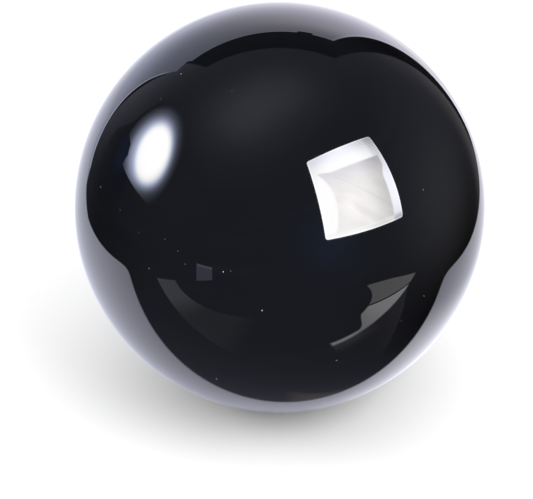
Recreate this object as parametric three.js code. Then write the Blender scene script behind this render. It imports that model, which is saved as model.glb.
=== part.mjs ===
// A polished obsidian sphere: one solid ball of black volcanic glass, about as big as a grapefruit.
// It was sawn and lapped round, polished all over, and then ground flat in one small spot underneath,
// so that it stands on a table without rolling away.
//
// Units are millimetres and +Z is up. The origin is the middle of the flat spot, on the surface that
// the ball stands on, and the ball is round about +Z.

import * as THREE from "three";

// Driving dimensions.
const BALL_DIAMETER = 120;
const FLAT_DIAMETER = 16;

// Facets: how many go round the ball, and how many lie between the flat spot's edge and the top.
const FACETS_ROUND = 96;
const FACETS_UP = 46;

// Polished black glass: nearly no colour of its own, no metal, and hardly any roughness.
const GLASS = { color: 0x101114, roughness: 0.03, metalness: 0 };

// The ball's outline from the flat spot's middle to the top, as (distance from the axis, height).
// It is one straight cut across the bottom, and one arc from the cut's edge up over the side.
function ballOutline() {
  const radius = BALL_DIAMETER / 2;
  const flatRadius = FLAT_DIAMETER / 2;
  // The cut's edge stands at this angle from straight down, seen from the ball's centre.
  const cutAngle = Math.asin(flatRadius / radius);
  const centreHeight = radius * Math.cos(cutAngle);

  const outline = [new THREE.Vector2(0, 0), new THREE.Vector2(flatRadius, 0)];
  for (let step = 1; step < FACETS_UP; step += 1) {
    const angle = cutAngle + ((Math.PI - cutAngle) * step) / FACETS_UP;
    outline.push(
      new THREE.Vector2(
        radius * Math.sin(angle),
        centreHeight - radius * Math.cos(angle),
      ),
    );
  }
  outline.push(new THREE.Vector2(0, centreHeight + radius));
  return outline;
}

// The whole ball is one turned solid. The lathe turns its outline about Y, so the mesh is tipped up to Z.
function makeBall() {
  const geometry = new THREE.LatheGeometry(ballOutline(), FACETS_ROUND);
  const ball = new THREE.Mesh(geometry, new THREE.MeshStandardMaterial(GLASS));
  ball.name = "obsidian_sphere";
  ball.rotation.x = Math.PI / 2;
  return ball;
}

const stone = new THREE.Group();
stone.add(makeBall());

export default stone;
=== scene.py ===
import math

import bpy
import numpy as np
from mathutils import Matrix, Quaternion, Vector


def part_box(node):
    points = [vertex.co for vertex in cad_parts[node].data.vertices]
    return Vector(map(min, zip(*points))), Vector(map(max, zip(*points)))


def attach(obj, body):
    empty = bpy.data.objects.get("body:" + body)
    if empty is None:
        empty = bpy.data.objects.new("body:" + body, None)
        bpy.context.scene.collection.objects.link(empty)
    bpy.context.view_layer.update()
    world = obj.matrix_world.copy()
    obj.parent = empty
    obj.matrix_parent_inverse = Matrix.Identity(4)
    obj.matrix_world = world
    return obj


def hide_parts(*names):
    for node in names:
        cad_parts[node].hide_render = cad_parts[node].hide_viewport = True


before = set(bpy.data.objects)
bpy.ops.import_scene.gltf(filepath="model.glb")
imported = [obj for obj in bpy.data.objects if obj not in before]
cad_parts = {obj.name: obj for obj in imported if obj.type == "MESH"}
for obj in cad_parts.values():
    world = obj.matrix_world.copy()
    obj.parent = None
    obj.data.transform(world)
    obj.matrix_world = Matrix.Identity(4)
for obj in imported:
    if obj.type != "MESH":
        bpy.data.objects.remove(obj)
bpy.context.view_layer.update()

# The ball is one lump of obsidian, a black volcanic glass, sawn to a cube, ground round and polished to a
# mirror. A small spot underneath was then ground flat and left satin, so that it stands. The polish leaves
# a few open bubbles, which are pits under half a millimetre across with pale powder caught in them.
LOW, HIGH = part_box("obsidian_sphere")
BALL_RADIUS = (HIGH[0] - LOW[0]) / 2
CENTRE = np.array([(LOW[0] + HIGH[0]) / 2, (LOW[1] + HIGH[1]) / 2, HIGH[2] - BALL_RADIUS])
FLAT_RADIUS = math.sqrt(BALL_RADIUS**2 - (CENTRE[2] - LOW[2]) ** 2)
MILLIMETRES_PER_METRE = 1000

# The spot's edge is eased by a small arc, which meets the flat and the ball without a corner. Its middle is
# this far out from the axis, and it ends where the ball's surface has turned this far up from straight down.
EASING_RADIUS = 0.005
EASING_REACH = math.sqrt(FLAT_RADIUS**2 - 2 * EASING_RADIUS * (BALL_RADIUS - CENTRE[2] + LOW[2]))
EASING_END = math.asin(EASING_REACH / (BALL_RADIUS - EASING_RADIUS))

# How many rows and columns the ball has between its pits, and how many rings cross the flat spot and its
# edge.
ROWS = 84
COLUMNS = 168
FLAT_RINGS = 8
EASING_RINGS = 6

# The pits that show: degrees round from the front towards +X, degrees up from the ball's middle, and
# millimetres across.
SHOWING_PITS = [
    (-4.5, 2, 0.34),
    (-15, 12, 0.32),
    (-13, 12.5, 0.15),
    (-19, -26, 0.36),
    (-26, 12, 0.12),
    (-26, 60, 0.11),
    (-28.5, 15, 0.14),
    (-33, 17, 0.16),
    (-37, 7.5, 0.22),
    (-42, 16, 0.16),
    (-51, 19, 0.14),
    (-58.5, 50, 0.10),
    (-61, 58.5, 0.26),
    (-63, 20.5, 0.28),
    (16, -16.5, 0.30),
    (34.5, -7.5, 0.12),
    (42, -2.5, 0.16),
    (47, 26.5, 0.20),
]
# More of them are scattered over the back, between these limits: half turns round from the front, heights
# over the ball's radius, and millimetres across.
SCATTERED_PITS = 10
SCATTER_SEED = 96
SCATTER_ROUND = (0.45, 1.55)
SCATTER_HEIGHTS = (-0.85, 0.97)
SCATTER_WIDTHS = (0.15, 0.40)
# All pits are this deep for their width.
PIT_DEPTH_SHARE = 0.22
# Rows and columns cross each pit at these shares of its radius. One that follows another by less than the
# last share of the smallest pit's radius is left out.
PIT_CROSSINGS = np.array([-1.05, -0.6, -0.2, 0.2, 0.6, 1.05])
NEAREST_CROSSING = 0.1
# Powder thins out at this share of a pit's radius, over a ring this much of the radius wide.
POWDER_SHARE = 0.72
POWDER_FADE = 0.35


def pit_places():
    """The pits' directions from the ball's centre, as unit vectors, and their radii in metres. The first
    ones are those that show. The others lie at random over the back, evenly by area, because equal steps of
    height cut equal areas from a ball."""
    shown = np.array(SHOWING_PITS)
    round_angle = np.radians(shown[:, 0])
    height = np.sin(np.radians(shown[:, 1]))
    width = shown[:, 2]
    draw = np.random.default_rng(SCATTER_SEED)
    round_angle = np.append(round_angle, draw.uniform(*SCATTER_ROUND, SCATTERED_PITS) * math.pi)
    height = np.append(height, draw.uniform(*SCATTER_HEIGHTS, SCATTERED_PITS))
    width = np.append(width, draw.uniform(*SCATTER_WIDTHS, SCATTERED_PITS))
    level = np.sqrt(1 - height**2)
    directions = np.stack([level * np.sin(round_angle), -level * np.cos(round_angle), height], axis=1)
    return directions, width / 2 / MILLIMETRES_PER_METRE


def crossed(stations, middles, reach):
    """The stations, with a cluster more across each pit: middle + reach * crossing for every crossing."""
    clusters = (middles[:, None] + reach[:, None] * PIT_CROSSINGS).ravel()
    return np.append(stations, clusters)


def thinned(stations, nearest):
    """The stations in order, without any that follow the one before by less than the nearest distance."""
    stations = np.sort(stations)
    kept = np.append(True, np.diff(stations) > nearest)
    return stations[kept]


def round_surface(directions, reach):
    """Points and outward normals on a grid, before the pits: rows go up the outline and columns go round it.

    The outline is arcs alone, each point being the arc's middle + radius * (sin turn, -cos turn), with the
    turn measured from straight down: the flat spot has arcs of no radius, its eased edge has the small one,
    and the rest has the ball's own."""
    turn_of_pit = np.arccos(-directions[:, 2])
    round_of_pit = np.arctan2(directions[:, 1], directions[:, 0]) % math.tau
    reach_up = reach / BALL_RADIUS
    reach_round = reach_up / np.sin(turn_of_pit)
    nearest = NEAREST_CROSSING * reach.min() / BALL_RADIUS

    columns = np.linspace(0, math.tau, COLUMNS, endpoint=False)
    columns = thinned(crossed(columns, round_of_pit, reach_round) % math.tau, nearest)
    rows = np.linspace(EASING_END, math.pi, ROWS + 1)[:-1]
    rows = thinned(crossed(rows, turn_of_pit, reach_up), nearest)
    rows = rows[rows >= EASING_END]

    flat = np.linspace(0, EASING_REACH, FLAT_RINGS + 1)[1:]
    easing = np.linspace(0, EASING_END, EASING_RINGS + 1)[1:-1]
    turn = np.concatenate([np.zeros_like(flat), easing, rows])
    arc_out = np.concatenate([flat, np.full_like(easing, EASING_REACH), np.zeros_like(rows)])
    arc_up = np.concatenate([
        np.full_like(flat, LOW[2]),
        np.full_like(easing, LOW[2] + EASING_RADIUS),
        np.full_like(rows, CENTRE[2]),
    ])
    arc_radius = np.concatenate([
        np.zeros_like(flat),
        np.full_like(easing, EASING_RADIUS),
        np.full_like(rows, BALL_RADIUS),
    ])

    turn, around = np.meshgrid(turn, columns, indexing="ij")
    outward = [np.sin(turn) * np.cos(around), np.sin(turn) * np.sin(around), -np.cos(turn)]
    normals = np.stack(outward, axis=-1)
    out = arc_out[:, None] + arc_radius[:, None] * np.sin(turn)
    up = arc_up[:, None] - arc_radius[:, None] * np.cos(turn)
    points = np.stack([CENTRE[0] + out * np.cos(around), CENTRE[1] + out * np.sin(around), up], axis=-1)
    return points, normals


def with_pits(points, normals, directions, reach):
    """Points, normals and powder once the pits are sunk. A pit sinks a point by depth * (1 - q * q) towards
    the ball's middle, where q is its distance from the pit's middle over the pit's radius, and tips its
    normal by that bowl's slope. Powder is 1 in a pit's middle and 0 outside the pits."""
    from_centre = points - CENTRE
    sunk = points.copy()
    tipped = normals.copy()
    powder = np.zeros(points.shape[:2])
    for direction, radius in zip(directions, reach):
        offset = from_centre - BALL_RADIUS * direction
        share = np.linalg.norm(offset, axis=-1) / radius
        inside = np.clip(1 - share**2, 0, None)
        depth = 2 * radius * PIT_DEPTH_SHARE
        sunk -= depth * inside[..., None] * normals
        slope = -2 * depth / radius**2 * (inside > 0)
        sideways = offset - np.sum(offset * normals, axis=-1, keepdims=True) * normals
        tipped += slope[..., None] * sideways
        powder = np.maximum(powder, np.clip((POWDER_SHARE - share) / POWDER_FADE + 0.5, 0, 1))
    tipped /= np.linalg.norm(tipped, axis=-1, keepdims=True)
    return sunk, tipped, powder


def closed_mesh(name, points, normals, foot, top):
    """A mesh from rows of points that go round, closed by a fan to one point below and another above."""
    rows, columns = points.shape[:2]
    index = np.arange(rows * columns).reshape(rows, columns)
    after = np.roll(index, -1, axis=1)
    quads = np.stack([index[:-1], after[:-1], after[1:], index[1:]], axis=-1).reshape(-1, 4)
    foot_index = rows * columns
    top_index = foot_index + 1
    foot_fan = np.stack([np.full(columns, foot_index), after[0], index[0]], axis=-1)
    top_fan = np.stack([index[-1], after[-1], np.full(columns, top_index)], axis=-1)
    corners = np.concatenate([quads.ravel(), foot_fan.ravel(), top_fan.ravel()])
    sizes = np.concatenate([np.full(len(quads), 4), np.full(2 * columns, 3)])

    mesh = bpy.data.meshes.new(name)
    mesh.vertices.add(rows * columns + 2)
    mesh.vertices.foreach_set("co", np.vstack([points.reshape(-1, 3), foot, top]).ravel())
    mesh.loops.add(len(corners))
    mesh.loops.foreach_set("vertex_index", corners)
    mesh.polygons.add(len(sizes))
    mesh.polygons.foreach_set("loop_start", np.append(0, np.cumsum(sizes)[:-1]))
    mesh.update(calc_edges=True)
    mesh.shade_smooth()
    normals = np.vstack([normals.reshape(-1, 3), (0, 0, -1), (0, 0, 1)])
    mesh.normals_split_custom_set_from_vertices(normals)
    return mesh


pit_directions, pit_reach = pit_places()
points, normals = round_surface(pit_directions, pit_reach)
points, normals, powder = with_pits(points, normals, pit_directions, pit_reach)
foot_point = (CENTRE[0], CENTRE[1], LOW[2])
top_point = (CENTRE[0], CENTRE[1], CENTRE[2] + BALL_RADIUS)
ball_mesh = closed_mesh("polished_ball", points, normals, foot_point, top_point)
powder_layer = ball_mesh.attributes.new("powder", "FLOAT", "POINT")
powder_layer.data.foreach_set("value", np.append(powder.ravel(), (0, 0)))
ball = bpy.data.objects.new("polished_ball", ball_mesh)
bpy.context.scene.collection.objects.link(ball)


class Flow:
    """A value on its way through a material's nodes. Sums, differences, products, quotients and powers of
    flows and numbers add Math nodes, and node() adds a node of any other kind."""

    def __init__(self, tree, socket=None):
        self.tree = tree
        self.socket = socket

    def node(self, kind, settings, values, output=0):
        made = self.tree.nodes.new("ShaderNode" + kind)
        for name, setting in settings.items():
            setattr(made, name, setting)
        for name, value in values.items():
            if isinstance(value, Flow):
                self.tree.links.new(value.socket, made.inputs[name])
            else:
                made.inputs[name].default_value = value
        return Flow(self.tree, made.outputs[output])

    def calculate(self, operation, *others):
        return self.node("Math", {"operation": operation}, dict(enumerate((self, *others))))

    def __add__(self, other):
        return self.calculate("ADD", other)

    def __sub__(self, other):
        return self.calculate("SUBTRACT", other)

    def __rsub__(self, other):
        return self.node("Math", {"operation": "SUBTRACT"}, {0: other, 1: self})

    def __mul__(self, other):
        return self.calculate("MULTIPLY", other)

    def __truediv__(self, other):
        return self.calculate("DIVIDE", other)

    def __pow__(self, other):
        return self.calculate("POWER", other)

    __radd__ = __add__
    __rmul__ = __mul__

    def at_least(self, other):
        return self.calculate("MAXIMUM", other)

    def at_most(self, other):
        return self.calculate("MINIMUM", other)

    def rising(self, start, end):
        """0 before start and 1 after end, with a smooth climb between."""
        settings = {"interpolation_type": "SMOOTHSTEP"}
        return self.node("MapRange", settings, {"Value": self, "From Min": start, "From Max": end})

    def falling(self, start, end):
        """1 before start and 0 after end, with a smooth descent between."""
        return 1 - self.rising(start, end)

    def climb(self, amount, start, end):
        """0 before start and this amount after end, with a smooth climb between."""
        return amount * self.rising(start, end)

    def edged(self, soft):
        """0 where this is below 0 and 1 where it is above, with a smooth climb this wide on either side."""
        return self.rising(-soft, soft)

    def part(self, axis):
        """The X, Y or Z of this vector."""
        return self.node("SeparateXYZ", {}, {"Vector": self}, axis)

    def tinted(self, colour):
        """The colour at this strength."""
        return self.node("VectorMath", {"operation": "SCALE"}, {0: colour, "Scale": self}, "Vector")

    def mixed(self, first, second):
        """The first colour where this is 0 and the second where it is 1. The numbers are the places of the
        Mix node's colour sockets, which share their names with its other ones."""
        settings = {"data_type": "RGBA"}
        first_colour, second_colour, result = 6, 7, 2
        return self.node("Mix", settings, {0: self, first_colour: first, second_colour: second}, result)


def new_material(name):
    """A material with an empty tree: the material, a flow to build on, and its output node."""
    material = bpy.data.materials.new(name)
    material.use_nodes = True
    tree = material.node_tree
    tree.nodes.clear()
    return material, Flow(tree), tree.nodes.new("ShaderNodeOutputMaterial")


GLASS_INDEX = 1.5
GLASS_BLACK = (0.0002, 0.0002, 0.0003, 1)
GLASS_SMOKE = (0.0010, 0.0010, 0.0013, 1)
# Flow bands lie in sheets tilted by these degrees, and are this many times finer across than along. They and
# the smoke are each a share of the clouding, over these ranges of their noise.
BAND_TILT = (24, -13)
BAND_FINENESS = 9
BAND_NOISE = {"Scale": 46, "Detail": 4, "Distortion": 0.6}
BAND_CLOUDING = (0.6, 0.45, 0.75)
SMOKE_NOISE = {"Scale": 34, "Detail": 3}
SMOKE_CLOUDING = (0.4, 0.4, 0.7)
# Crystals are dots about a quarter of a millimetre across, in one cell of sixteen. Their edge is a share of
# the cell, and their paleness a share of the full one.
CRYSTAL_PALE = (0.30, 0.31, 0.33, 1)
CRYSTAL_CELLS = 260
CRYSTAL_EDGE = (0.022, 0.036)
CRYSTAL_CHANCE = (0.93, 0.95)
CRYSTAL_PALENESS = 0.6
CRYSTAL_HEIGHT = 0.15
# Powder is pale and matt.
POWDER_PALE = (0.62, 0.63, 0.66, 1)
POWDER_ROUGHNESS = 0.75
# The polish is a little duller where it was wiped.
POLISH_ROUGHNESS = 0.016
WIPED_NOISE = {"Scale": 22, "Detail": 5, "Roughness": 0.6}
WIPED_ROUGHNESS = (0.022, 0.45, 0.75)
# The ground spot ends about where the eased edge starts, in shares of the edge's reach, and is only where
# the ball is this low, in shares of its radius.
GROUND_GREY = (0.030, 0.031, 0.034, 1)
GROUND_EDGE = (0.97, 1.06)
GROUND_HEIGHT = (-0.9, -0.8)
# Two sets of straight scratches cross it at these degrees, each this many times finer across than along.
GROUND_ROUGHNESS = 0.36
SCRATCH_ROUGHNESS = 0.16
SCRATCH_ANGLES = (20, -55)
SCRATCH_FINENESS = 40
SCRATCH_NOISE = {"Scale": 260, "Detail": 3}
SCRATCH_DEPTH = 0.00004
BUMP_STRENGTH = 0.35


def obsidian():
    """Black glass with faint flow bands and smoke in it, a few pale crystals, pale powder where the mesh has
    it, and the ground spot's scratched satin grey."""
    material, flow, output = new_material("obsidian")
    place = flow.node("TexCoord", {}, {}, "Object")
    middle = flow.node("Mapping", {}, {"Vector": place, "Location": tuple(-CENTRE)})

    band_place = flow.node("Mapping", {"vector_type": "TEXTURE"}, {
        "Vector": middle,
        "Rotation": (math.radians(BAND_TILT[0]), math.radians(BAND_TILT[1]), 0),
        "Scale": (1, 1, 1 / BAND_FINENESS),
    })
    bands = flow.node("TexNoise", {}, {"Vector": band_place, **BAND_NOISE})
    smoke = flow.node("TexNoise", {}, {"Vector": middle, **SMOKE_NOISE})
    clouded = bands.climb(*BAND_CLOUDING) + smoke.climb(*SMOKE_CLOUDING)
    colour = clouded.mixed(GLASS_BLACK, GLASS_SMOKE)

    cells = {"Vector": middle, "Scale": CRYSTAL_CELLS}
    distance = flow.node("TexVoronoi", {}, cells, "Distance")
    chance = flow.node("SeparateColor", {}, {"Color": flow.node("TexVoronoi", {}, cells, "Color")}, "Red")
    crystal = distance.falling(*CRYSTAL_EDGE) * chance.rising(*CRYSTAL_CHANCE)
    colour = (crystal * CRYSTAL_PALENESS).mixed(colour, CRYSTAL_PALE)
    powdered = flow.node("Attribute", {"attribute_name": "powder"}, {}, "Fac")
    colour = powdered.mixed(colour, POWDER_PALE)

    across = flow.node("VectorMath", {"operation": "MULTIPLY"}, {0: middle, 1: (1, 1, 0)})
    from_axis = flow.node("VectorMath", {"operation": "LENGTH"}, {0: across}, "Value")
    underneath = (middle.part("Z") / BALL_RADIUS).falling(*GROUND_HEIGHT)
    ground = (from_axis / EASING_REACH).falling(*GROUND_EDGE) * underneath
    colour = ground.mixed(colour, GROUND_GREY)

    def scratches(angle):
        lines = flow.node("Mapping", {"vector_type": "TEXTURE"}, {
            "Vector": middle,
            "Rotation": (0, 0, math.radians(angle)),
            "Scale": (1, 1 / SCRATCH_FINENESS, 1),
        })
        return flow.node("TexNoise", {}, {"Vector": lines, **SCRATCH_NOISE})

    first_angle, second_angle = SCRATCH_ANGLES
    worn = (scratches(first_angle) + scratches(second_angle)) / 2
    wiped = flow.node("TexNoise", {}, {"Vector": middle, **WIPED_NOISE})
    polished = POLISH_ROUGHNESS + wiped.climb(*WIPED_ROUGHNESS)
    roughness = polished * (1 - ground) + (GROUND_ROUGHNESS + SCRATCH_ROUGHNESS * worn) * ground
    roughness = roughness * (1 - powdered) + POWDER_ROUGHNESS * powdered

    bump = flow.node("Bump", {}, {
        "Strength": BUMP_STRENGTH,
        "Distance": SCRATCH_DEPTH,
        "Height": worn * ground + crystal * CRYSTAL_HEIGHT,
    })
    shader = flow.node("BsdfPrincipled", {}, {
        "Base Color": colour,
        "Roughness": roughness,
        "Normal": bump,
        "IOR": GLASS_INDEX,
    })
    flow.tree.links.new(shader.socket, output.inputs["Surface"])
    return material


ball_mesh.materials.append(obsidian())
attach(ball, "root")
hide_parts("obsidian_sphere")

# The floor is a wide sheet of plain white paper, laid flat. To the eye it goes on for ever, but the ball
# mirrors it only as far as the edges of a small table. Past them it mirrors the dim room and stays black.
FLOOR_SIDE = 16
FLOOR_WHITE = (0.64, 0.64, 0.64, 1)
# Places are in metres from the ball's foot, x to the right and y back. The edges of all paper are this soft.
PAPER_EDGE = 0.0015
# Divisors that could be 0 are kept at this or more.
NOT_ZERO = 0.02

# The table's sides run straight back for a while and then curve outwards: where each side is, how far back
# it starts to curve, and the curve's slope and bend.
TABLE_LEFT = (-0.185, 0.08, -0.48, -0.27)
TABLE_RIGHT = (0.150, 0.26, 0.37, 0.02)
# Its front edge is a shallow bow: the middle's place, its slant and its bend. The front corners are round.
TABLE_FRONT = (-0.040, 0.107, 0.47)
TABLE_BACK = 1.25
TABLE_ROUNDING = 0.035
# Its white with painted light at the left, at the right and far back, and where one white turns into the
# other.
LEFT_PAINTED_LIT_WHITE = (0.65, 0.67, 0.80, 1)
RIGHT_PAINTED_LIT_WHITE = (0.68, 0.68, 0.75, 1)
FAR_PAINTED_LIT_WHITE = (0.93, 0.93, 0.97, 1)
LEFT_TO_RIGHT = (-0.25, 0.15)
NEAR_TO_FAR = (0.3, 0.6)
# The same along its front, where painted light makes a stretch right of the middle brightest.
FRONT_LEFT_PAINTED_LIT_WHITE = (0.93, 0.94, 1.12, 1)
FRONT_RIGHT_PAINTED_LIT_WHITE = (0.76, 0.77, 0.90, 1)
FRONT_PAINTED_BRIGHTEST = (1.25, 1.25, 1.40, 1)
FRONT_LEFT_TO_RIGHT = (-0.1, 0.1)
FRONT_BRIGHTENS = (0, 0.06)
FRONT_DIMS = (0.06, 0.11)
FRONT_TO_MIDDLE = (-0.02, 0.10)
# Its right edge catches more light from here back, over this width per length back from the ball.
RIGHT_EDGE_PAINTED_LIGHT = (0.95, 0.95, 1.0, 1)
RIGHT_EDGE_START = (0.15, 0.25)
RIGHT_EDGE_WIDTH = (0.02, 0.06)


def within(value, low, high):
    """How far inside its limits the value is, below 0 outside them."""
    return (value - low).at_most(high - value)


def table(x, y):
    """1 on the table and 0 off it, and its white, with painted light in it. A side lies at place + slope * s
    + bend * s * s, where s is how far a point is behind the start of the curve, and the front at
    place + slant * x + bow * x * x."""
    def side(place, start, slope, bend):
        behind = (y - start).at_least(0)
        return place + behind * slope + behind * behind * bend

    place, slant, bow = TABLE_FRONT
    from_front = y - (place + x * slant + x * x * bow)
    from_right = side(*TABLE_RIGHT) - x
    inside = (x - side(*TABLE_LEFT)).calculate("SMOOTH_MIN", from_right, TABLE_ROUNDING)
    inside = inside.calculate("SMOOTH_MIN", from_front, TABLE_ROUNDING).at_most(TABLE_BACK - y)

    # The whites are painted light: brighter far back, along the front and at the right edge.
    white = y.rising(*NEAR_TO_FAR).mixed(RIGHT_PAINTED_LIT_WHITE, FAR_PAINTED_LIT_WHITE)
    white = x.rising(*LEFT_TO_RIGHT).mixed(LEFT_PAINTED_LIT_WHITE, white)
    front_painted_lit_white = x.rising(*FRONT_LEFT_TO_RIGHT).mixed(FRONT_LEFT_PAINTED_LIT_WHITE, FRONT_RIGHT_PAINTED_LIT_WHITE)
    painted_brightest = x.rising(*FRONT_BRIGHTENS) * x.falling(*FRONT_DIMS)
    front_painted_lit_white = painted_brightest.mixed(front_painted_lit_white, FRONT_PAINTED_BRIGHTEST)
    white = y.rising(*FRONT_TO_MIDDLE).mixed(front_painted_lit_white, white)
    painted_right_edge_light = (from_right / y.at_least(NOT_ZERO)).falling(*RIGHT_EDGE_WIDTH) * y.rising(*RIGHT_EDGE_START)
    return inside.edged(PAPER_EDGE), painted_right_edge_light.mixed(white, RIGHT_EDGE_PAINTED_LIGHT)


# In front of the table lie two cuttings of the same paper. The left one ends at these places, and fades out
# at its right end. Its front edge is a bow, given by its middle and its bend, and its back edge is given by
# a place and a slant.
LEFT_CUTTING_ENDS = (-0.181, 0)
LEFT_CUTTING_FADES = (-0.05, -0.02)
LEFT_CUTTING_FRONT = (-0.10, -0.133, -3)
LEFT_CUTTING_BACK = (-0.0745, 0.18)
# It is in shade, and darker to the right.
SHADE_COOL = (0.86, 0.88, 1.02)
LEFT_CUTTING_LIGHT = 0.41
LEFT_CUTTING_SHADE = (0.23, -0.13, -0.075)


def left_cutting(x, y):
    """1 on the left cutting and 0 off it, and its light."""
    middle_x, middle_y, bend = LEFT_CUTTING_FRONT
    from_middle = x - middle_x
    front = middle_y + from_middle * from_middle * bend
    place, slant = LEFT_CUTTING_BACK
    inside = within(x, *LEFT_CUTTING_ENDS).at_most(within(y, front, place + x * slant))
    shape = inside.edged(PAPER_EDGE) * x.falling(*LEFT_CUTTING_FADES)
    return shape, LEFT_CUTTING_LIGHT - x.climb(*LEFT_CUTTING_SHADE)


# The right cutting's front edge steps forward by this much between two places. From another place on the
# cutting widens by a slant and a bend, down to its foremost line. Its back edge slants from a place on.
RIGHT_CUTTING_ENDS = (0.036, 0.193)
RIGHT_CUTTING_FRONT = -0.090
RIGHT_CUTTING_STEP = (0.018, 0.062, 0.084)
RIGHT_CUTTING_WIDENING = (0.07, 0.3, 68)
RIGHT_CUTTING_FOREMOST = -0.18
RIGHT_CUTTING_BACK = (-0.086, 0.085, 0.05)
# Its outer front corner is round: where that starts, and its bend.
RIGHT_CUTTING_CORNER = (-0.12, 8)
# A gap crosses it through this point with this slope.
GAP_POINT = (0.152, -0.088)
GAP_SLOPE = 0.6
GAP_EDGE = (0.0009, 0.0027)
# Painted light makes the paper behind the gap brighter, most of all at its narrow end and far right.
PAPER_WHITE = (0.86, 0.86, 0.88)
RIGHT_CUTTING_LIGHT = 0.70
BEHIND_GAP = (0, 0.003)
BEHIND_GAP_LIGHT = 1.10
FAR_RIGHT_GAIN = (0.45, 0.06, 0.11)
NARROW_END_GAIN = 0.35
NARROW_END = (0.052, 0.062)


def right_cutting(x, y):
    """1 on the right cutting and 0 off it, and its light, which is 0 in the gap. With s the distance past
    the widening's start, the widening is slant * s + bend * s * s * s."""
    start, slant, bend = RIGHT_CUTTING_WIDENING
    wider = (x - start).at_least(0)
    front = RIGHT_CUTTING_FRONT - x.climb(*RIGHT_CUTTING_STEP) - wider * (slant + wider * wider * bend)
    place, start, slant = RIGHT_CUTTING_BACK
    back = place + (x - start).at_least(0) * slant
    start, bend = RIGHT_CUTTING_CORNER
    past_start = (start - y).at_least(0)
    inner_end, outer_end = RIGHT_CUTTING_ENDS
    inside_ends = within(x, inner_end, outer_end - past_start * past_start * bend)
    inside = inside_ends.at_most(within(y, front.at_least(RIGHT_CUTTING_FOREMOST), back))

    past_gap = y - GAP_POINT[1] - (x - GAP_POINT[0]) * GAP_SLOPE
    behind_light = BEHIND_GAP_LIGHT + x.climb(*FAR_RIGHT_GAIN) + NARROW_END_GAIN * x.falling(*NARROW_END)
    light = RIGHT_CUTTING_LIGHT + (behind_light - RIGHT_CUTTING_LIGHT) * past_gap.rising(*BEHIND_GAP)
    return inside.edged(PAPER_EDGE), light * past_gap.calculate("ABSOLUTE").rising(*GAP_EDGE)


# A dark strip of painted shade shows between the table and the right cutting. It fades in at its left end,
# and its back edge is given by a place and a slant.
PAINTED_SHADE_ENDS = (0.036, 0.15)
PAINTED_SHADE_FADES_IN = (0.03, 0.08)
PAINTED_SHADE_FRONT = -0.09
PAINTED_SHADE_BACK = (-0.029, -0.36)
# Its painted light is brighter to the right, and near the cutting's narrow end, which fades between these
# places across and back.
PAINTED_SHADE_LIGHT = 0.105
PAINTED_SHADE_RIGHT_GAIN = (0.035, 0.07, 0.11)
PAINTED_SHADE_NEAR_GAIN = 0.11
PAINTED_SHADE_NEAR_ACROSS = (0.055, 0.085)
PAINTED_SHADE_NEAR_BACK = (-0.084, -0.070)


def painted_shade_strip(x, y):
    """1 on the strip of painted shade and 0 off it, and its light."""
    place, slant = PAINTED_SHADE_BACK
    inside = within(x, *PAINTED_SHADE_ENDS).at_most(within(y, PAINTED_SHADE_FRONT, place + x * slant))
    near = x.falling(*PAINTED_SHADE_NEAR_ACROSS) * y.falling(*PAINTED_SHADE_NEAR_BACK)
    shape = inside.edged(PAPER_EDGE) * x.rising(*PAINTED_SHADE_FADES_IN).at_least(near)
    return shape, PAINTED_SHADE_LIGHT + x.climb(*PAINTED_SHADE_RIGHT_GAIN) + PAINTED_SHADE_NEAR_GAIN * near


# Left of the middle the paper in front is the left cutting, and right of it the right one or the painted
# shade.
FLOOR_MIDDLE = (-0.01, 0.01)


def floor_paper():
    """White paper for the eye. The ball mirrors the table, the cuttings and the strip of painted shade, with
    light and shade painted into their colours, so that the table is mostly whiter in the mirror than to the
    eye. Elsewhere it sees through the floor."""
    material, flow, output = new_material("floor_paper")
    place = flow.node("TexCoord", {}, {}, "Object")
    x, y = place.part("X"), place.part("Y")
    on_table, table_painted_lit_white = table(x, y)
    on_left, left_light = left_cutting(x, y)
    on_right, right_light = right_cutting(x, y)
    on_painted_shade, painted_shade_light = painted_shade_strip(x, y)

    right_colour = on_right.mixed(painted_shade_light.tinted(SHADE_COOL), right_light.tinted(PAPER_WHITE))
    front_colour = x.rising(*FLOOR_MIDDLE).mixed(left_light.tinted(SHADE_COOL), right_colour)
    mirrored_colour = on_table.mixed(front_colour, table_painted_lit_white)
    on_paper = on_table.at_least(on_left.at_least(on_right).at_least(on_painted_shade))

    mirrored = flow.node("LightPath", {}, {}, "Is Glossy Ray")
    paper = flow.node("BsdfPrincipled", {}, {
        "Base Color": mirrored.mixed(FLOOR_WHITE, mirrored_colour),
        "Specular IOR Level": 0,
    })
    open_air = flow.node("BsdfTransparent", {}, {})
    surface = flow.node("MixShader", {}, {0: mirrored * (1 - on_paper), 1: paper, 2: open_air})
    flow.tree.links.new(surface.socket, output.inputs["Surface"])
    return material


def flat_sheet(name, width, height):
    """A rectangle in its own X and Y with its middle at the origin, facing its own +Z."""
    x, y = width / 2, height / 2
    mesh = bpy.data.meshes.new(name)
    mesh.from_pydata([(-x, -y, 0), (x, -y, 0), (x, y, 0), (-x, y, 0)], [], [(0, 1, 2, 3)])
    sheet = bpy.data.objects.new(name, mesh)
    bpy.context.scene.collection.objects.link(sheet)
    return sheet


floor = flat_sheet("floor", FLOOR_SIDE, FLOOR_SIDE)
floor.location.z = LOW[2]
floor.data.materials.append(floor_paper())


# The backdrop is a sheet of white paper that hangs behind the ball. Only the ball's mirror shows it, as the
# pale rim along the top. It is no lamp, but glows with its light and shade painted on. Places on it are
# measured across and up from straight behind the ball's middle.
BACKDROP_DISTANCE = 1.25
BACKDROP_SIDE = 2.6
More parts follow.
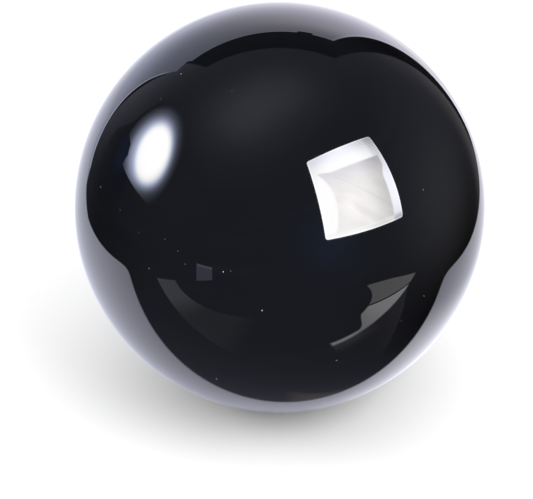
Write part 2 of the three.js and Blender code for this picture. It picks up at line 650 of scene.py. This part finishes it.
# Its edges. The left one: a place, the height where it is upright, and its bend and twist from there. The
# right one: the same without a twist. The top one: a place, a slant and a bow.
BACKDROP_LEFT = (-1.08, 0.3, -0.30, 0.20)
BACKDROP_RIGHT = (0.48, 1, 0.050)
BACKDROP_TOP = (1.01, -0.03, 0.055)
BACKDROP_EDGE = 0.004
# The clamped end of its top edge hangs lower than the rest, left of this place and by this much. A clip
# covers a short piece of that edge further right.
CLAMPED_END = -0.95
CLAMPED_DROP = 0.09
CLAMPED_EDGE = 0.005
CLIP = (0.14, 0.28)
CLIP_DROP = 0.05
CLIP_EDGE = 0.01
# It is cool at the left and warm at the right, and its light grows that way, less so near the top. It is
# also a little brighter low down at the left.
BACKDROP_COOL = (0.87, 0.92, 1.21, 1)
BACKDROP_WARM = (0.955, 0.935, 1.11, 1)
COOL_TO_WARM = (-0.9, 0.1)
BACKDROP_LIGHT = 1.08
RIGHTWARD_GAIN = 0.95
RIGHTWARD = (-0.6, 0.5)
TOP_LOSS = (0.75, 0.6, 0.95)
LOW_LEFT_GAIN = 0.28
LOW_LEFT_ENDS = (0, 0.6)
# Lines along its edges are brighter by this much, out to this far from the edge. The left one ends high up.
LEFT_LINE_LIGHT = 1.3
LEFT_LINE_ENDS = (0.7, 0.9)
THIN_LINE_LIGHT = 0.4
LEFT_LINE = (0.012, 0.030)
TOP_LINE = (0.008, 0.016)
RIGHT_LINE = (0.012, 0.035)


def direction(round_angle, height_angle):
    """The unit vector at these degrees round from straight behind the ball towards +X, and up from level."""
    around, up = math.radians(round_angle), math.radians(height_angle)
    return Vector((math.sin(around) * math.cos(up), math.cos(around) * math.cos(up), math.sin(up)))


def mirrored_only(thing):
    """The thing is seen in reflections alone, and throws no light or shadow on the floor."""
    thing.visible_camera = False
    thing.visible_diffuse = False
    thing.visible_shadow = False


def glow(name, make_surface):
    """A material whose light is worked out from its own X and Y: make_surface(flow, x, y) gives the light's
    colour at its strength, and how solid the material is."""
    material, flow, output = new_material(name)
    place = flow.node("TexCoord", {}, {}, "Object")
    colour, solid = make_surface(flow, place.part("X"), place.part("Y"))
    light = flow.node("BsdfPrincipled", {}, {
        "Base Color": (0, 0, 0, 1),
        "Specular IOR Level": 0,
        "Emission Color": colour,
        "Emission Strength": 1,
    })
    open_air = flow.node("BsdfTransparent", {}, {})
    surface = flow.node("MixShader", {}, {0: solid, 1: open_air, 2: light})
    flow.tree.links.new(surface.socket, output.inputs["Surface"])
    material.cycles.emission_sampling = "NONE"
    return material


def backdrop_light(flow, x, y):
    """With h the height above where an edge is upright, the left one lies at place + bend * h * h +
    twist * h * h * h and the right one at place + bend * h * h. The top one lies at place + slant * x +
    bow * x * x."""
    place, upright, bend, twist = BACKDROP_LEFT
    height = y - upright
    from_left = x - (place + height * height * bend + height * height * height * twist)
    place, upright, bend = BACKDROP_RIGHT
    height = y - upright
    from_right = place + height * height * bend - x
    place, slant, bow = BACKDROP_TOP
    clamped = 1 - (x - CLAMPED_END).edged(CLAMPED_EDGE)
    clip = within(x, *CLIP).rising(0, CLIP_EDGE)
    from_top = place + x * slant + x * x * bow - clamped * CLAMPED_DROP - clip * CLIP_DROP - y
    solid = from_left.edged(BACKDROP_EDGE) * from_right.edged(BACKDROP_EDGE) * from_top.edged(BACKDROP_EDGE)

    rightward = x.rising(*RIGHTWARD)
    strength = BACKDROP_LIGHT + rightward * RIGHTWARD_GAIN * (1 - y.climb(*TOP_LOSS))
    strength = strength + LOW_LEFT_GAIN * (1 - rightward) * y.falling(*LOW_LEFT_ENDS)
    strength = strength + LEFT_LINE_LIGHT * from_left.falling(*LEFT_LINE) * y.falling(*LEFT_LINE_ENDS)
    thin_lines = from_top.falling(*TOP_LINE) + from_right.falling(*RIGHT_LINE)
    strength = strength + THIN_LINE_LIGHT * thin_lines
    return strength.tinted(x.rising(*COOL_TO_WARM).mixed(BACKDROP_COOL, BACKDROP_WARM)), solid


def hang(sheet, distance):
    """The sheet hangs upright straight behind the ball, with its middle as high as the ball's."""
    sheet.location = (CENTRE[0], CENTRE[1] + distance, CENTRE[2])
    sheet.rotation_euler = (math.radians(90), 0, 0)
    mirrored_only(sheet)


backdrop = flat_sheet("backdrop", BACKDROP_SIDE, BACKDROP_SIDE)
backdrop.data.materials.append(glow("backdrop_paper", backdrop_light))
hang(backdrop, BACKDROP_DISTANCE)


# Black cloth hangs just behind the backdrop, above and beside it. Its sides are given by a place and a
# slant, and low down its left side reaches further.
CLOTH_GAP = 0.02
CLOTH_SIDE = 3.6
CLOTH_LEFT = (-0.81, -0.19)
CLOTH_LOW_LEFT = -1.17
CLOTH_LOW_ENDS = (0.80, 0.90)
CLOTH_RIGHT = (0.742, 0.025)
CLOTH_TOP = 1.73
CLOTH_SIDE_EDGE = 0.02
CLOTH_TOP_EDGE = 0.03
CLOTH_BLACK_GLOW = (0.026, 0.026, 0.035, 1)
CLOTH_GREY_GLOW = (0.076, 0.086, 0.114, 1)
BLACK_TO_GREY = (0.3, 1.3)


def cloth_light(flow, x, y):
    """A painted glow: black below and dark grey above. A side lies at place + slant * height."""
    low = y.falling(*CLOTH_LOW_ENDS)
    place, slant = CLOTH_LEFT
    left = (place + y * slant) * (1 - low) + CLOTH_LOW_LEFT * low
    place, slant = CLOTH_RIGHT
    from_right = place + y * slant - x
    solid = (x - left).edged(CLOTH_SIDE_EDGE) * from_right.edged(CLOTH_SIDE_EDGE)
    solid = solid * (CLOTH_TOP - y).edged(CLOTH_TOP_EDGE)
    return y.rising(*BLACK_TO_GREY).mixed(CLOTH_BLACK_GLOW, CLOTH_GREY_GLOW), solid


cloth = flat_sheet("black_cloth", CLOTH_SIDE, CLOTH_SIDE)
cloth.data.materials.append(glow("black_cloth", cloth_light))
hang(cloth, BACKDROP_DISTANCE + CLOTH_GAP)


# The main light is a square soft box, high at the front right. A rim of white cloth runs round a pleated
# panel in its middle. Places on it are u and v, from -1 to 1, leftwards and upwards as the ball shows them.
LIGHT_DISTANCE = 1.20
BOX_PLACE = direction(129.1, 32.8)
BOX_FACING = direction(136.1, 18.3)
BOX_ROLL = math.radians(4.4)
BOX_SIDE = 0.98
BOX_CORNER = 0.03
BOX_EDGE = 0.003
# The panel's left edge bends away on both sides of a waist, more so above it. Its right edge and its top
# step outwards. The left edge and the foot are softer than the others.
PANEL_WAIST = -0.2
PANEL_LEFT = 0.58
PANEL_LEFT_BEND = 0.3
PANEL_LEFT_BEND_GAIN = (0.2, -0.3, 0)
PANEL_RIGHT = -0.745
PANEL_RIGHT_STEP = (0.13, -0.05, 0.25)
PANEL_TOP = 0.445
PANEL_TOP_STEP = (0.09, 0.4, 0.9)
PANEL_FOOT = -0.90
PANEL_EDGE = 0.03
PANEL_SOFT_EDGE = 0.04
# Its light grows leftwards, dims upwards, and is strongest round one place below its middle.
PANEL_LIGHT = 13.5
PANEL_LEFT_GAIN = (8, -0.8, -0.05)
PANEL_TOP_LOSS = (3.5, 0, 0.5)
PANEL_BRIGHTEST = (0.22, -0.42)
PANEL_BRIGHTEST_GAIN = 2.2
PANEL_BRIGHTEST_REACH = (0.10, 0.42)
# A crease crosses it with this slope, at this height in the middle. A height above it over the stretch is a
# distance from it. Faint folds run along it, and a soft shade lies on its lower side and ends to the left.
CREASE_SLOPE = 0.88
CREASE_HEIGHT = -0.078
CREASE_STRETCH = 1.33
CREASE_WIDTH = 0.03
CREASE_LOSS = 0.08
SHADE_LOSS = 0.09
SHADE_START = (-0.50, -0.42)
SHADE_END = (-0.36, -0.26)
SHADE_LEFT_END = (0.1, 0.3)
FOLD_NOISE = {"Scale": 2.2, "Detail": 3}
FOLD_TURN = math.radians(41)
FOLD_STRETCH = 0.35
FOLD_DARKEST = 0.90
FOLD_GAIN = 0.20
PANEL_WARM = (1.0, 0.97, 0.968, 1)
PANEL_ROSE = (1.0, 0.975, 1.045, 1)
WARM_TO_ROSE = (-0.1, 0.5)


def box_panel(flow, u, v):
    """1 on the panel and 0 off it, and its light. The left edge lies at place + bend * h * h, where h is the
    height above the waist."""
    from_waist = v - PANEL_WAIST
    left = PANEL_LEFT + from_waist * from_waist * (PANEL_LEFT_BEND + v.climb(*PANEL_LEFT_BEND_GAIN))
    right = PANEL_RIGHT - v.climb(*PANEL_RIGHT_STEP)
    top = PANEL_TOP + u.climb(*PANEL_TOP_STEP)
    shape = (left - u).edged(PANEL_SOFT_EDGE) * (u - right).edged(PANEL_EDGE)
    shape = shape * (top - v).edged(PANEL_EDGE) * (v - PANEL_FOOT).edged(PANEL_SOFT_EDGE)

    out, up = u - PANEL_BRIGHTEST[0], v - PANEL_BRIGHTEST[1]
    from_brightest = (out * out + up * up) ** 0.5
    light = PANEL_LIGHT + u.climb(*PANEL_LEFT_GAIN) - v.climb(*PANEL_TOP_LOSS)
    light = light + PANEL_BRIGHTEST_GAIN * from_brightest.falling(*PANEL_BRIGHTEST_REACH)
    along_crease = flow.node("Mapping", {"vector_type": "TEXTURE"}, {
        "Vector": flow.node("CombineXYZ", {}, {"X": u, "Y": v}),
        "Rotation": (0, 0, FOLD_TURN),
        "Scale": (1, FOLD_STRETCH, 1),
    })
    folds = flow.node("TexNoise", {}, {"Vector": along_crease, **FOLD_NOISE})
    light = light * (FOLD_DARKEST + FOLD_GAIN * folds)
    from_crease = (v - u * CREASE_SLOPE - CREASE_HEIGHT) / CREASE_STRETCH
    crease = from_crease.calculate("ABSOLUTE").falling(0, CREASE_WIDTH)
    shade = from_crease.rising(*SHADE_START) * from_crease.falling(*SHADE_END) * u.falling(*SHADE_LEFT_END)
    return shape, light * (1 - CREASE_LOSS * crease - SHADE_LOSS * shade)


# The rim dims towards its top right and top left corners, its top, its foot, more so at the foot's right
# end, and its right side, more so low down. Each has how much it dims, and from where to where.
RIM_LIGHT = 24.7
RIGHT_CORNER_LEAN = 0.8
RIGHT_CORNER_LOSS = (12, 0.65, 1.80)
LEFT_CORNER_LOSS = (5, 1.0, 1.9)
RIM_TOP_LOSS = (2.5, 0.6, 1.0)
RIM_FOOT = (-0.97, -0.82)
RIM_FOOT_LOSS = 2
RIM_FOOT_RIGHT_LOSS = 7
RIM_FOOT_RIGHT_END = (-0.5, 0.3)
RIM_SIDE = (-0.80, -0.66)
RIM_SIDE_LOSS = 2.7
RIM_SIDE_LOW_LOSS = 3
RIM_SIDE_LOW = (-0.9, -0.5)
# Stitches cross its top right corner in lines with this lean, as a sine at this rate. The rim is brighter
# along the box's outline, at these distances in from it.
STITCH_LOSS = (2.2, 1.15, 1.6)
STITCH_LEAN = 0.55
STITCH_RATE = 62
OUTLINE_GAIN = 4
OUTLINE_INSIDE = (0.010, 0.024)
RIM_NEUTRAL = (1.0, 1.0, 1.0, 1)
RIM_COOL = (0.98, 0.985, 1.07, 1)
NEUTRAL_TO_COOL = (0.5, 0.9)


def box_rim(u, v, from_outline):
    """The rim's light, and 1 along its right side. Each wave of the sine is one line of stitches."""
    right_side = u.falling(*RIM_SIDE)
    foot_loss = RIM_FOOT_LOSS + RIM_FOOT_RIGHT_LOSS * u.falling(*RIM_FOOT_RIGHT_END)
    side_loss = RIM_SIDE_LOSS + RIM_SIDE_LOW_LOSS * v.falling(*RIM_SIDE_LOW)
    stitches = ((u - v * STITCH_LEAN) * STITCH_RATE).calculate("SINE")
    light = RIM_LIGHT - (v * RIGHT_CORNER_LEAN - u).climb(*RIGHT_CORNER_LOSS)
    light = light - (u + v).climb(*LEFT_CORNER_LOSS) - v.falling(*RIM_FOOT) * foot_loss
    light = light - v.climb(*RIM_TOP_LOSS) - (v - u).climb(*STITCH_LOSS) * stitches
    light = light - right_side * side_loss
    return light + OUTLINE_GAIN * from_outline.falling(*OUTLINE_INSIDE), right_side


def box_light(flow, x, y):
    """The panel within its rim, on a square with round corners, past which the distance is from the corner's
    own middle."""
    half = BOX_SIDE / 2
    u, v = x / half, y / half
    across, along = x.calculate("ABSOLUTE"), y.calculate("ABSOLUTE")
    on_panel, panel_light = box_panel(flow, u, v)
    rim_light, right_side = box_rim(u, v, half - across.at_least(along))
    tint = v.rising(*NEUTRAL_TO_COOL).at_least(right_side).mixed(RIM_NEUTRAL, RIM_COOL)
    tint = on_panel.mixed(tint, v.rising(*WARM_TO_ROSE).mixed(PANEL_WARM, PANEL_ROSE))

    past_side = (across - (half - BOX_CORNER)).at_least(0)
    past_end = (along - (half - BOX_CORNER)).at_least(0)
    past = (past_side * past_side + past_end * past_end) ** 0.5
    strength = on_panel * panel_light + (1 - on_panel) * rim_light
    return strength.tinted(tint), (BOX_CORNER - past).edged(BOX_EDGE)


def face_ball(thing, place, facing, roll):
    """The thing stands at the lights' distance from the ball in the direction of its place, and its own -Z
    points along the facing one: away from the ball for a sheet, and at the ball for a lamp."""
    thing.location = Vector(CENTRE) + place * LIGHT_DISTANCE
    thing.rotation_mode = "QUATERNION"
    thing.rotation_quaternion = facing.to_track_quat("-Z", "Y") @ Quaternion((0, 0, 1), roll)


soft_box = flat_sheet("soft_box", BOX_SIDE, BOX_SIDE)
face_ball(soft_box, BOX_PLACE, BOX_FACING, BOX_ROLL)
soft_box.data.materials.append(glow("soft_box", box_light))
mirrored_only(soft_box)


# The second light is a round white umbrella at the left, with a bright oval core in a wider halo. The core
# is turned and squashed, and both fall off at a width, the more abruptly the higher the steepness.
UMBRELLA_PLACE = direction(-86, 22.3)
UMBRELLA_RADIUS = 0.50
UMBRELLA_FADES = (0.42, UMBRELLA_RADIUS)
CORE_MIDDLE = (-0.046, 0.052)
CORE_TURN = math.radians(31.4)
CORE_SQUASH = 1.16
CORE_WIDTH = 0.286
CORE_STEEPNESS = 12
CORE_LIGHT = 14.5
CORE_SLOPE = (-0.73, 0.58)
HALO_MIDDLE = (0.032, 0.030)
HALO_WIDTH = 0.295
HALO_STEEPNESS = 9.4
HALO_LIGHT = 5.6
EDGE_LIGHT = 0.28
UMBRELLA_COOL = (0.83, 0.92, 1.25, 1)
UMBRELLA_WHITE = (1.0, 1.0, 1.0, 1)
LIGHT_OF_COOL_TO_WHITE = (6, 20)
# Its foot is hidden up to a level edge. On one side that edge rises aslant from a point to a second level,
# but for a small corner.
HIDDEN_BELOW = -0.296
ASLANT_FROM = (0.232, -0.215)
ASLANT_SLOPE = 1.03
ASLANT_TOP = -0.138
CORNER_END = 0.25
HIDDEN_EDGE = 0.004


def umbrella_light(flow, x, y):
    """The core and the halo each give light / (1 + (distance / width) ** steepness), with distances from
    their own middles. The core's light also slopes across the umbrella. Where all of it together is bright,
    it turns white."""
    def falloff(out, up, width, steepness):
        distance = (out * out + up * up) ** 0.5
        return (1 + (distance / width) ** steepness) ** -1

    core_x, core_y = x - CORE_MIDDLE[0], y - CORE_MIDDLE[1]
    cosine, sine = math.cos(CORE_TURN), math.sin(CORE_TURN)
    along = core_x * cosine + core_y * sine
    across = (core_y * cosine - core_x * sine) * CORE_SQUASH
    slope = 1 + x * CORE_SLOPE[0] + y * CORE_SLOPE[1]
    core = falloff(along, across, CORE_WIDTH, CORE_STEEPNESS) * slope
    halo = falloff(x - HALO_MIDDLE[0], y - HALO_MIDDLE[1], HALO_WIDTH, HALO_STEEPNESS)
    strength = EDGE_LIGHT + HALO_LIGHT * halo + CORE_LIGHT * core

    above_aslant = y - ASLANT_FROM[1] - (x - ASLANT_FROM[0]) * ASLANT_SLOPE
    in_corner = (CORNER_END - x).at_most(ASLANT_FROM[1] - y)
    above = above_aslant.at_least(y - ASLANT_TOP).at_least(in_corner).at_most(y - HIDDEN_BELOW)
    solid = ((x * x + y * y) ** 0.5).falling(*UMBRELLA_FADES) * above.edged(HIDDEN_EDGE)
    tint = strength.rising(*LIGHT_OF_COOL_TO_WHITE).mixed(UMBRELLA_COOL, UMBRELLA_WHITE)
    return strength.tinted(tint), solid


umbrella = flat_sheet("umbrella", 2 * UMBRELLA_RADIUS, 2 * UMBRELLA_RADIUS)
face_ball(umbrella, UMBRELLA_PLACE, UMBRELLA_PLACE, 0)
umbrella.data.materials.append(glow("umbrella", umbrella_light))
mirrored_only(umbrella)


# A small window behind the camera is cool and dim, and a little brighter along its top. Its foot is aslant
# and rises towards one side. Only the ball's mirror shows it.
WINDOW_PLACE = direction(-141.4, -11)
WINDOW_WIDTH = 0.175
WINDOW_HEIGHT = 0.19
WINDOW_FOOT_SLOPE = 0.28
WINDOW_EDGE = 0.003
WINDOW_COOL = (0.92, 0.92, 1.32)
WINDOW_LIGHT = 0.85
WINDOW_TOP_GAIN = (0.5, 0.06, 0.08)


def window_light(flow, x, y):
    """Even light with a brighter top, above a foot that rises by the slope towards one side."""
    above_foot = y + WINDOW_HEIGHT / 2 - (WINDOW_WIDTH / 2 - x) * WINDOW_FOOT_SLOPE
    return (WINDOW_LIGHT + y.climb(*WINDOW_TOP_GAIN)).tinted(WINDOW_COOL), above_foot.edged(WINDOW_EDGE)


window = flat_sheet("window", WINDOW_WIDTH, WINDOW_HEIGHT)
face_ball(window, WINDOW_PLACE, WINDOW_PLACE, 0)
window.data.materials.append(glow("window", window_light))
mirrored_only(window)


# The soft box and the umbrella light the floor as soft lamps, which stand in the same places. The ball
# doesn't mirror them a second time, and the camera doesn't see them.
BOX_WATTS = 16
UMBRELLA_WATTS = 6.5


def soft_lamp(name, place, side, watts):
    """A square lamp with this side, which shines at the ball from its place."""
    lamp = bpy.data.lights.new(name, "AREA")
    lamp.size = side
    lamp.energy = watts
    made = bpy.data.objects.new(name, lamp)
    face_ball(made, place, -place, 0)
    made.visible_glossy = False
    made.visible_camera = False
    bpy.context.scene.collection.objects.link(made)


soft_lamp("box_lamp", BOX_PLACE, BOX_SIDE, BOX_WATTS)
soft_lamp("umbrella_lamp", UMBRELLA_PLACE, UMBRELLA_RADIUS, UMBRELLA_WATTS)


# All around is plain white to the eye, even pale light for the floor, and for the ball's mirror a dim
# grey-blue room: a ceiling that glows, walls brighter in two places, and shade low down on both sides.
EYE_WHITE = (1, 1, 1, 1)
PALE_LIGHT = (1.0, 1.0, 1.01, 1)
PALE_STRENGTH = 1.6
WALL_TINT = (0.87, 0.92, 1.21)
WALL_BRIGHTNESS = 0.27
# Places in the room that are brighter or darker: round angle, height angle, width in degrees, and how much.
GLOW_TINT = (0.94, 0.96, 1.10)
ROOM_GLOWS = [
    (-112, 72, 14, 0.46),
    (25, 83, 12, 0.25),
    (-33, 17, 15, 0.31),
    (82, -2, 20, 0.34),
]
ROOM_SHADES = [
    (-56, -20, 32, -0.21),
    (68, -26, 30, -0.33),
]
# Two places under the lights are faintly blue.
NAVY_TINT = (0.10, 0.35, 1.0)
ROOM_BLUES = [
    (-70, 9, 5, 0.20),
    (152, 10, 12, 0.24),
]


def room_patches(flow, toward, patches):
    """The sum over the patches of amount * exp((cos a - 1) / w / w), where a is the angle from the patch's
    middle and w its width in radians."""
    light = []
    for round_angle, height_angle, width, amount in patches:
        middle = tuple(direction(round_angle, height_angle))
        cosine = flow.node("VectorMath", {"operation": "DOT_PRODUCT"}, {0: toward, 1: middle}, "Value")
        falling = (cosine - 1) * (1 / math.radians(width) ** 2)
        light.append(amount * falling.calculate("EXPONENT"))
    return sum(light[1:], light[0])


# A wall at the left ends this far left of straight ahead, per length ahead, and further left higher up. The
# room past its end is darker, but not much further left, and neither low down nor high up.
WALL_END_LOW = 1.28
WALL_END_CHANGE = (0.40, 0.05, 0.31)
WALL_END_EDGE = (-0.02, 0.06)
BEYOND_ENDS = (4, 8)
BEYOND_AHEAD = (0.05, 0.10)
BEYOND_STARTS_UP = (-0.25, 0.2)
BEYOND_ENDS_UP = (0.40, 0.62)
BEYOND_SHADE = 0.45


def beyond_wall(x, y, z):
    """How much darker the room is, from a direction's X, Y and Z: nothing, or up to the full shade."""
    leftward = (0 - x) / y.at_least(NOT_ZERO)
    past_end = (leftward - (WALL_END_LOW + z.climb(*WALL_END_CHANGE))).rising(*WALL_END_EDGE)
    past_end = past_end * leftward.falling(*BEYOND_ENDS) * y.rising(*BEYOND_AHEAD)
    return past_end * z.rising(*BEYOND_STARTS_UP) * z.falling(*BEYOND_ENDS_UP) * BEYOND_SHADE


# Right beside the black cloth a strip of the wall catches warm light. It fades out to the right, and
# upwards, first by half.
STRIP_TINT = (1.0, 0.79, 0.61)
STRIP_LIGHT = 0.14
STRIP_REACH = (0.50, 0.97)
STRIP_STARTS = (0, 0.1)
STRIP_HALVES = (0.5, 0.05, 0.2)
STRIP_ENDS_UP = (0.3, 0.5)


def lit_strip(x, y, z):
    """The strip's light, from a direction's X, Y and Z. It falls to 0 where a direction is far right of
    straight ahead, per length ahead."""
    beside = (x / y.at_least(NOT_ZERO)).falling(*STRIP_REACH)
    beside = beside * x.rising(*STRIP_STARTS) * y.rising(*STRIP_STARTS)
    return beside * (1 - z.climb(*STRIP_HALVES)) * z.falling(*STRIP_ENDS_UP) * STRIP_LIGHT


world = bpy.data.worlds.new("studio")
world.use_nodes = True
world.node_tree.nodes.clear()
air = Flow(world.node_tree)
toward = air.node("TexCoord", {}, {}, "Generated")
toward_parts = [toward.part(axis) for axis in "XYZ"]
lit = 1 - beyond_wall(*toward_parts)
wall_brightness = (WALL_BRIGHTNESS + room_patches(air, toward, ROOM_SHADES)) * lit
room_colour = wall_brightness.tinted(WALL_TINT)
for brightness, tint in [
    (room_patches(air, toward, ROOM_GLOWS) * lit, GLOW_TINT),
    (room_patches(air, toward, ROOM_BLUES), NAVY_TINT),
    (lit_strip(*toward_parts), STRIP_TINT),
]:
    added = {0: room_colour, 1: brightness.tinted(tint)}
    room_colour = air.node("VectorMath", {"operation": "ADD"}, added)
seen = air.node("LightPath", {}, {}, "Is Camera Ray")
mirrored = air.node("LightPath", {}, {}, "Is Glossy Ray")
pale = air.node("Background", {}, {"Color": PALE_LIGHT, "Strength": PALE_STRENGTH})
room = air.node("Background", {}, {"Color": room_colour})
white = air.node("Background", {}, {"Color": EYE_WHITE})
light = air.node("MixShader", {}, {0: mirrored, 1: pale, 2: room})
light = air.node("MixShader", {}, {0: seen, 1: light, 2: white})
world_output = world.node_tree.nodes.new("ShaderNodeOutputWorld")
world.node_tree.links.new(light.socket, world_output.inputs["Surface"])
world.cycles.sampling_method = "NONE"
bpy.context.scene.world = world
bpy.context.scene.view_settings.view_transform = "Standard"


# The camera looks down on the ball from the front with a long lens. It aims a little to the left of the
# ball's middle and below it, so that the ball stands high and slightly to the right in the frame.
CAMERA_DISTANCE = 0.70
CAMERA_HEIGHT_ANGLE = math.radians(30)
CAMERA_LENS = 161.4
AIM_LEFT = 0.00385
AIM_BELOW = 0.01247

backward = Vector((0, -math.cos(CAMERA_HEIGHT_ANGLE), math.sin(CAMERA_HEIGHT_ANGLE)))
upward = Vector((0, math.sin(CAMERA_HEIGHT_ANGLE), math.cos(CAMERA_HEIGHT_ANGLE)))
camera = bpy.data.objects.new("camera", bpy.data.cameras.new("camera"))
camera.data.lens = CAMERA_LENS
camera.location = Vector(CENTRE) + backward * CAMERA_DISTANCE
aim = Vector(CENTRE) - Vector((AIM_LEFT, 0, 0)) - upward * AIM_BELOW
camera.rotation_mode = "QUATERNION"
camera.rotation_quaternion = (aim - camera.location).to_track_quat("-Z", "Y")
bpy.context.scene.collection.objects.link(camera)
bpy.context.scene.camera = camera
